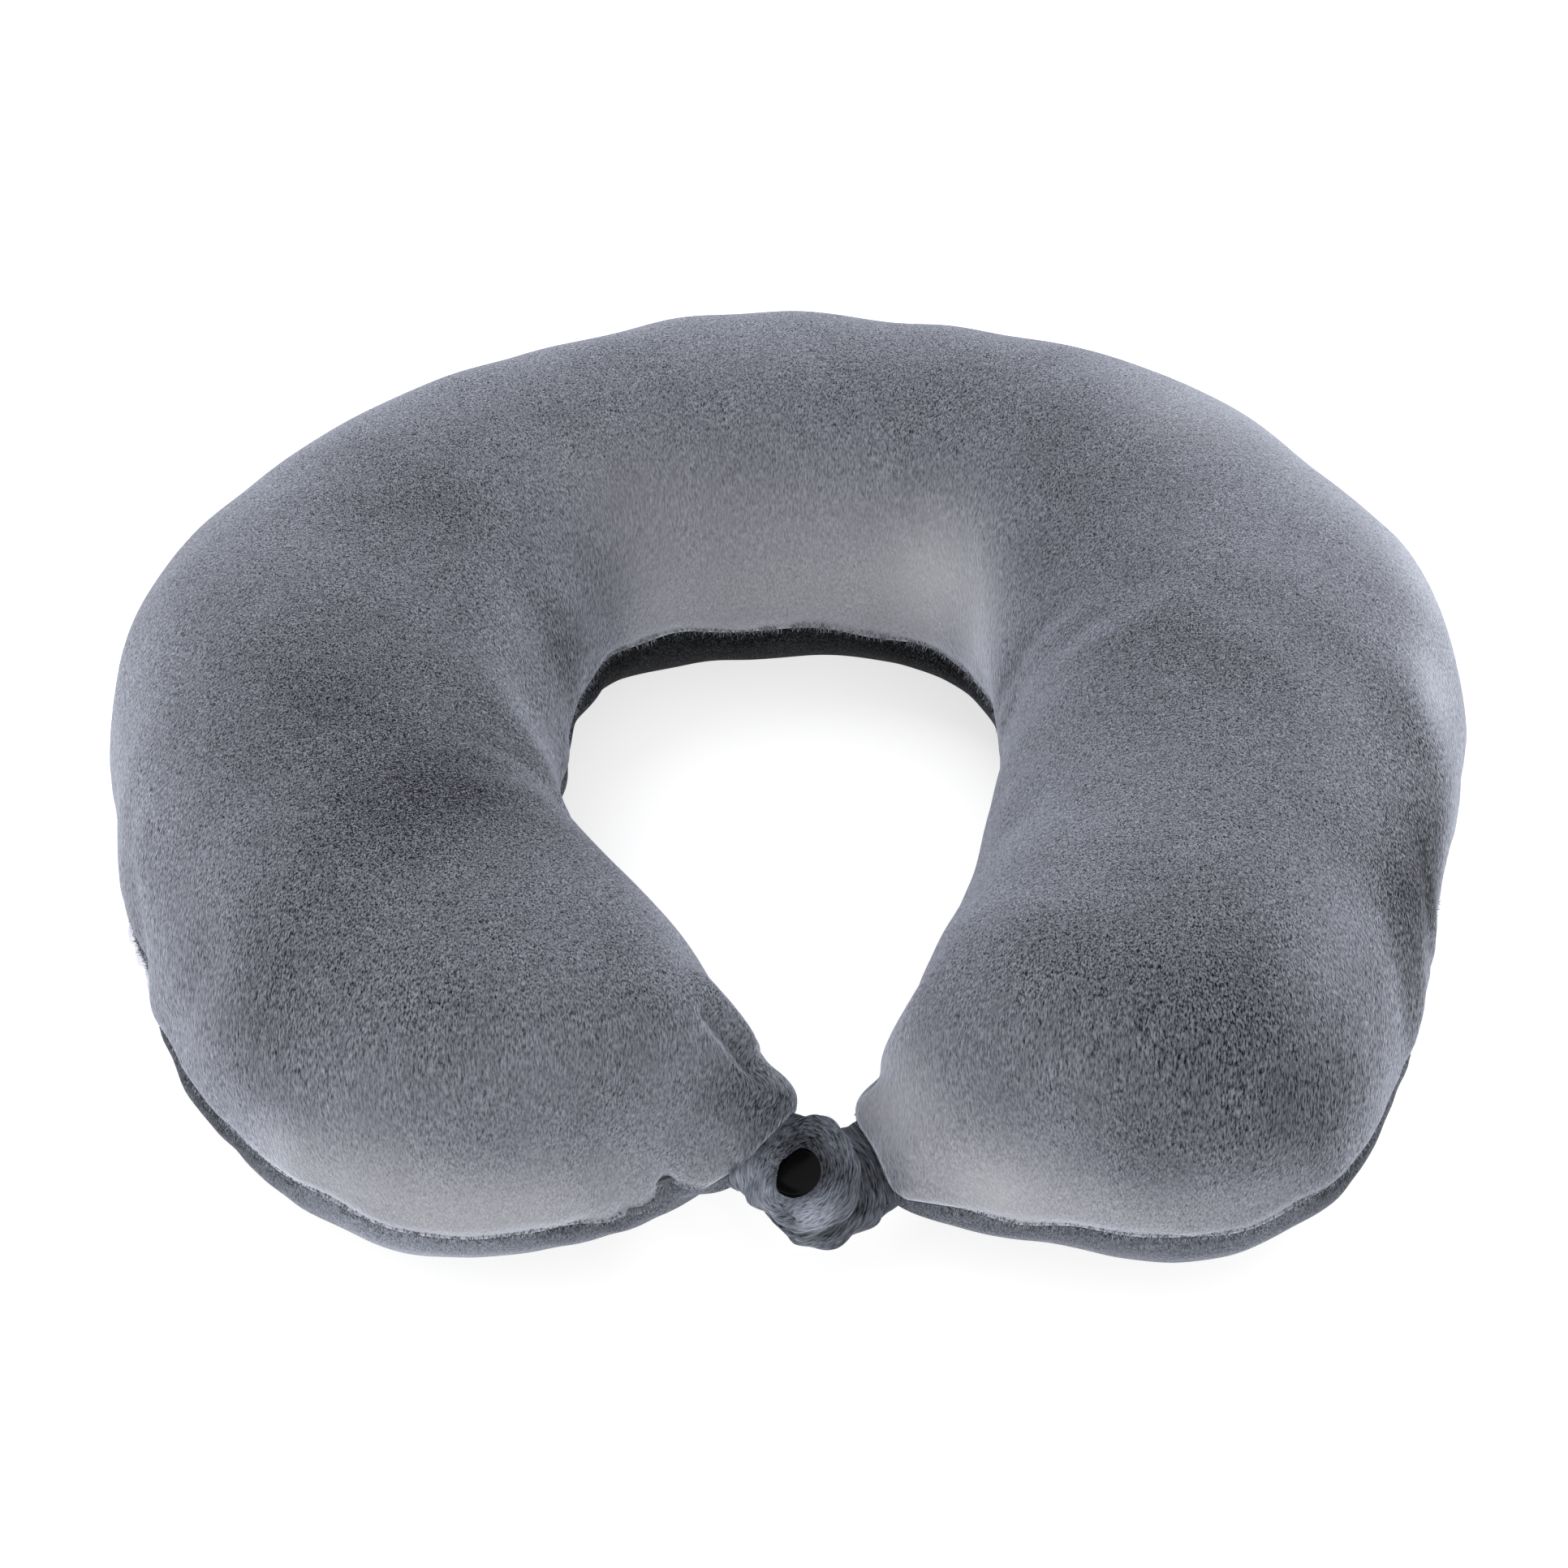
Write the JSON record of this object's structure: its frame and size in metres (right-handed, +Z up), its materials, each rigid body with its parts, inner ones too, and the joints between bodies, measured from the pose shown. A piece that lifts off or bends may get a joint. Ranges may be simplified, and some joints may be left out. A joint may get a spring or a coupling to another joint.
{
  "type": "neck pillow",
  "caption": "U-shaped travel neck pillow: moulded foam core in a zipped two-tone velour cover, with snap-fastened tabs between its tips.",
  "frame": {"origin": "centre of the bounding box's bottom, on the surface that the pillow lies on", "axes": "+X from the left tip's side to the right tip's side, +Y towards the back of the U, away from the tips, +Z up"},
  "size_m": [0.3059, 0.2722, 0.0841],
  "materials": {
    "light_velour": "short-pile velour, soft sheen",
    "dark_velour": "short-pile velour",
    "memory_foam": "matt open-cell foam",
    "sewing_thread": "spun thread",
    "zip_tape_weave": "woven tape",
    "zip_coil_nylon": "nylon coil",
    "zip_slider_metal": "satin black enamel",
    "black_snap_resin": "glossy moulded resin",
    "white_satin_label": "satin ribbon, unprinted"
  },
  "bodies": {
    "pillow": {"foam_core": "memory_foam", "cover_top_panel": "light_velour", "cover_bottom_panel": "dark_velour", "seam_thread_inner": "sewing_thread", "seam_thread_left": "sewing_thread", "seam_thread_right": "sewing_thread", "zip_tape_upper": "zip_tape_weave", "zip_tape_lower": "zip_tape_weave", "zip_coil_upper": "zip_coil_nylon", "zip_coil_lower": "zip_coil_nylon", "zip_stop_closed_end": "zip_coil_nylon", "zip_stop_open_end": "zip_coil_nylon", "care_label": "white_satin_label"},
    "left_tab": {"left_tab_upper_ply": "dark_velour", "left_tab_lower_ply": "dark_velour", "snap_cap_upper": "black_snap_resin", "snap_socket": "black_snap_resin"},
    "right_tab": {"right_tab_upper_ply": "dark_velour", "right_tab_lower_ply": "dark_velour", "snap_cap_lower": "black_snap_resin", "snap_stud": "black_snap_resin"},
    "zip_slider": {"zip_slider_body": "zip_slider_metal"},
    "zip_pull": {"zip_pull_tab": "zip_slider_metal"}
  },
  "joints": [
    {"name": "left_tab_lift", "type": "hinge", "parent": "pillow", "child": "left_tab", "pos_m": [-0.00453, -0.11212, 0.02553], "axis": [-0.5022, -0.8434, -0.1909], "range_deg": [0, 50]},
    {"name": "right_tab_drop", "type": "hinge", "parent": "pillow", "child": "right_tab", "pos_m": [0.01864, -0.10888, 0.01976], "axis": [0.4362, -0.8827, -0.1749], "range_deg": [0, 40]},
    {"name": "zip_slider_travel", "type": "hinge", "parent": "pillow", "child": "zip_slider", "pos_m": [0.0003, -0.0272, 0.025], "axis": [0, 0, 1], "range_deg": [0, 123]},
    {"name": "zip_pull_swing", "type": "hinge", "parent": "zip_slider", "child": "zip_pull", "pos_m": [0.14557, 0.05135, 0.025], "axis": [0, 0, -1], "range_deg": [0, 165]}
  ]
}
